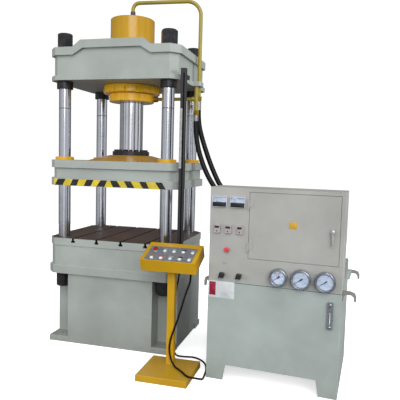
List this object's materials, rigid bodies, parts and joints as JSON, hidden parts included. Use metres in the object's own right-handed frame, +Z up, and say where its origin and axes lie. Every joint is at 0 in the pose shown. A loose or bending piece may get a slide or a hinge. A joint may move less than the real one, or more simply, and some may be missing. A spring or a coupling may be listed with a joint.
{
  "type": "four-column hydraulic press with power unit",
  "caption": "Four-column hydraulic press with a T-slotted table, a guided slide, a hanging ram cylinder, a free-standing control pedestal and a separate oil tank with its electric cabinet.",
  "frame": {"origin": "on the floor under the axis of the ram, which is also the centre of the four anchor holes", "axes": "+Z up along the ram, +X to the right along the front of the press, +Y to the rear"},
  "size_m": [2.6903, 1.448, 3.085],
  "materials": {
    "press_paint": "satin light grey-green machine paint",
    "unit_paint": "satin light grey-green machine paint",
    "pedestal_paint": "satin light grey-green machine paint",
    "table_steel": "ground top with a brown rust-proofing film",
    "column_chrome": "hard chromed and polished",
    "rod_chrome": "hard chromed and polished",
    "black_steel": "blackened",
    "yellow_paint": "semi-gloss yellow paint",
    "clamp_yellow": "semi-gloss yellow paint",
    "pipe_yellow": "dull yellow paint",
    "zinc_steel": "zinc plated",
    "hose_rubber": "matt black",
    "cable_rubber": "matt black",
    "rail_black": "black paint",
    "scale_steel": "etched",
    "panel_grey": "brushed and anodised",
    "bezel_metal": "polished",
    "button_black": "moulded",
    "button_green": "moulded",
    "button_red": "moulded",
    "gland_plastic": "moulded",
    "meter_plastic": "moulded",
    "gauge_steel": "polished bezel",
    "dial_white": "printed white face",
    "needle_black": "matt black",
    "relay_plastic": "moulded grey",
    "level_clear": "moulded frame",
    "handle_chrome": "plated",
    "motor_paint": "grey enamel",
    "pump_iron": "painted casting",
    "valve_steel": "phosphated",
    "breather_black": "moulded"
  },
  "bodies": {
    "press": {"base_frame": "press_paint", "crown": "press_paint", "work_table": "table_steel", "columns": "column_chrome", "column_nuts": "black_steel", "crown_collars": "black_steel", "cylinder_barrel": "yellow_paint", "cylinder_clamp_nut": "clamp_yellow", "cylinder_gland": "clamp_yellow", "upper_pipe": "pipe_yellow", "lower_pipe": "pipe_yellow", "pipe_unions": "zinc_steel", "hose_ferrules": "zinc_steel", "hose_front": "hose_rubber", "hose_rear": "hose_rubber", "control_cable": "cable_rubber", "limit_rail": "rail_black", "stroke_scale": "scale_steel", "pedestal_stand": "pedestal_paint", "control_box": "pedestal_paint", "control_panel": "panel_grey", "button_bezels": "bezel_metal", "cable_glands": "gland_plastic", "oil_tank": "unit_paint", "tank_lid": "unit_paint", "cabinet_shell": "unit_paint", "door_hinges": "zinc_steel", "panel_meters": "meter_plastic", "gauge_cases": "gauge_steel", "instrument_dials": "dial_white", "timer_relays": "relay_plastic", "level_gauge": "level_clear", "electric_motor": "motor_paint", "pump_unit": "pump_iron", "valve_block": "valve_steel", "air_breather": "breather_black"},
    "slide": {"slide_platen": "press_paint", "guide_flanges": "yellow_paint", "rod_flange": "black_steel", "piston_rod": "rod_chrome"},
    "door": {"cabinet_door": "unit_paint"},
    "handle": {"door_handle": "handle_chrome"},
    "stop_button": {"emergency_stop": "button_red"},
    "red_button": {"panel_button": "button_red"},
    "button_1": {"push_button_1": "button_black"},
    "button_2": {"push_button_2": "button_green"},
    "button_3": {"push_button_3": "button_black"},
    "button_4": {"push_button_4": "button_black"},
    "button_5": {"push_button_5": "button_black"},
    "button_6": {"push_button_6": "button_black"},
    "button_7": {"push_button_7": "button_green"},
    "button_8": {"push_button_8": "button_black"},
    "button_9": {"push_button_9": "button_black"},
    "pressure_needle_1": {"gauge_needle_1": "needle_black"},
    "pressure_needle_2": {"gauge_needle_2": "needle_black"},
    "pressure_needle_3": {"gauge_needle_3": "needle_black"},
    "electric_needle_1": {"meter_needle_1": "needle_black"},
    "knob_1": {"pressure_knob_1": "button_black"},
    "electric_needle_2": {"meter_needle_2": "needle_black"},
    "knob_2": {"pressure_knob_2": "button_black"}
  },
  "joints": [
    {"name": "slide_travel", "type": "slide", "parent": "press", "child": "slide", "axis": [0, 0, 1], "range_m": [-0.3, 0.2]},
    {"name": "door_swing", "type": "hinge", "parent": "press", "child": "door", "pos_m": [1.25265, -0.76802, 1.19], "axis": [0, 0, -1], "range_deg": [0, 120]},
    {"name": "handle_turn", "type": "hinge", "parent": "door", "child": "handle", "pos_m": [1.85243, -0.82014, 1.19], "axis": [0.075, 0.9972, 0], "range_deg": [0, 90]},
    {"name": "emergency_press", "type": "slide", "parent": "press", "child": "stop_button", "axis": [0, 0.3584, -0.9336], "range_m": [0, 0.004]},
    {"name": "red_button_press", "type": "slide", "parent": "press", "child": "red_button", "axis": [0.075, 0.9972, 0], "range_m": [0, 0.003], "stiffness_N_per_m": 300, "springref_m": -0.001},
    {"name": "press_1", "type": "slide", "parent": "press", "child": "button_1", "axis": [0, 0.3584, -0.9336], "range_m": [0, 0.003], "stiffness_N_per_m": 300, "springref_m": -0.001},
    {"name": "press_2", "type": "slide", "parent": "press", "child": "button_2", "axis": [0, 0.3584, -0.9336], "range_m": [0, 0.003], "stiffness_N_per_m": 300, "springref_m": -0.001},
    {"name": "press_3", "type": "slide", "parent": "press", "child": "button_3", "axis": [0, 0.3584, -0.9336], "range_m": [0, 0.003], "stiffness_N_per_m": 300, "springref_m": -0.001},
    {"name": "press_4", "type": "slide", "parent": "press", "child": "button_4", "axis": [0, 0.3584, -0.9336], "range_m": [0, 0.003], "stiffness_N_per_m": 300, "springref_m": -0.001},
    {"name": "press_5", "type": "slide", "parent": "press", "child": "button_5", "axis": [0, 0.3584, -0.9336], "range_m": [0, 0.003], "stiffness_N_per_m": 300, "springref_m": -0.001},
    {"name": "press_6", "type": "slide", "parent": "press", "child": "button_6", "axis": [0, 0.3584, -0.9336], "range_m": [0, 0.003], "stiffness_N_per_m": 300, "springref_m": -0.001},
    {"name": "press_7", "type": "slide", "parent": "press", "child": "button_7", "axis": [0, 0.3584, -0.9336], "range_m": [0, 0.003], "stiffness_N_per_m": 300, "springref_m": -0.001},
    {"name": "press_8", "type": "slide", "parent": "press", "child": "button_8", "axis": [0, 0.3584, -0.9336], "range_m": [0, 0.003], "stiffness_N_per_m": 300, "springref_m": -0.001},
    {"name": "press_9", "type": "slide", "parent": "press", "child": "button_9", "axis": [0, 0.3584, -0.9336], "range_m": [0, 0.003], "stiffness_N_per_m": 300, "springref_m": -0.001},
    {"name": "pressure_turn_1", "type": "hinge", "parent": "press", "child": "pressure_needle_1", "pos_m": [1.48995, -0.81294, 0.839], "axis": [0.075, 0.9972, 0], "range_deg": [0, 250], "stiffness_Nm_per_rad": 0.01},
    {"name": "pressure_turn_2", "type": "hinge", "parent": "press", "child": "pressure_needle_2", "pos_m": [1.6495, -0.82494, 0.839], "axis": [0.075, 0.9972, 0], "range_deg": [0, 250], "stiffness_Nm_per_rad": 0.01},
    {"name": "pressure_turn_3", "type": "hinge", "parent": "press", "child": "pressure_needle_3", "pos_m": [1.81702, -0.83754, 0.839], "axis": [0.075, 0.9972, 0], "range_deg": [0, 250], "stiffness_Nm_per_rad": 0.01},
    {"name": "electric_turn_1", "type": "hinge", "parent": "press", "child": "electric_needle_1", "pos_m": [1.03411, -0.7536, 1.334], "axis": [0.075, 0.9972, 0], "range_deg": [0, 80], "stiffness_Nm_per_rad": 0.01},
    {"name": "electric_turn_2", "type": "hinge", "parent": "press", "child": "electric_needle_2", "pos_m": [1.17123, -0.76391, 1.334], "axis": [0.075, 0.9972, 0], "range_deg": [0, 80], "stiffness_Nm_per_rad": 0.01},
    {"name": "knob_turn_1", "type": "hinge", "parent": "press", "child": "knob_1", "pos_m": [1.06819, -0.76719, 0.812], "axis": [0.075, 0.9972, 0], "continuous": true},
    {"name": "knob_turn_2", "type": "hinge", "parent": "press", "child": "knob_2", "pos_m": [1.19882, -0.77701, 0.814], "axis": [0.075, 0.9972, 0], "continuous": true}
  ]
}
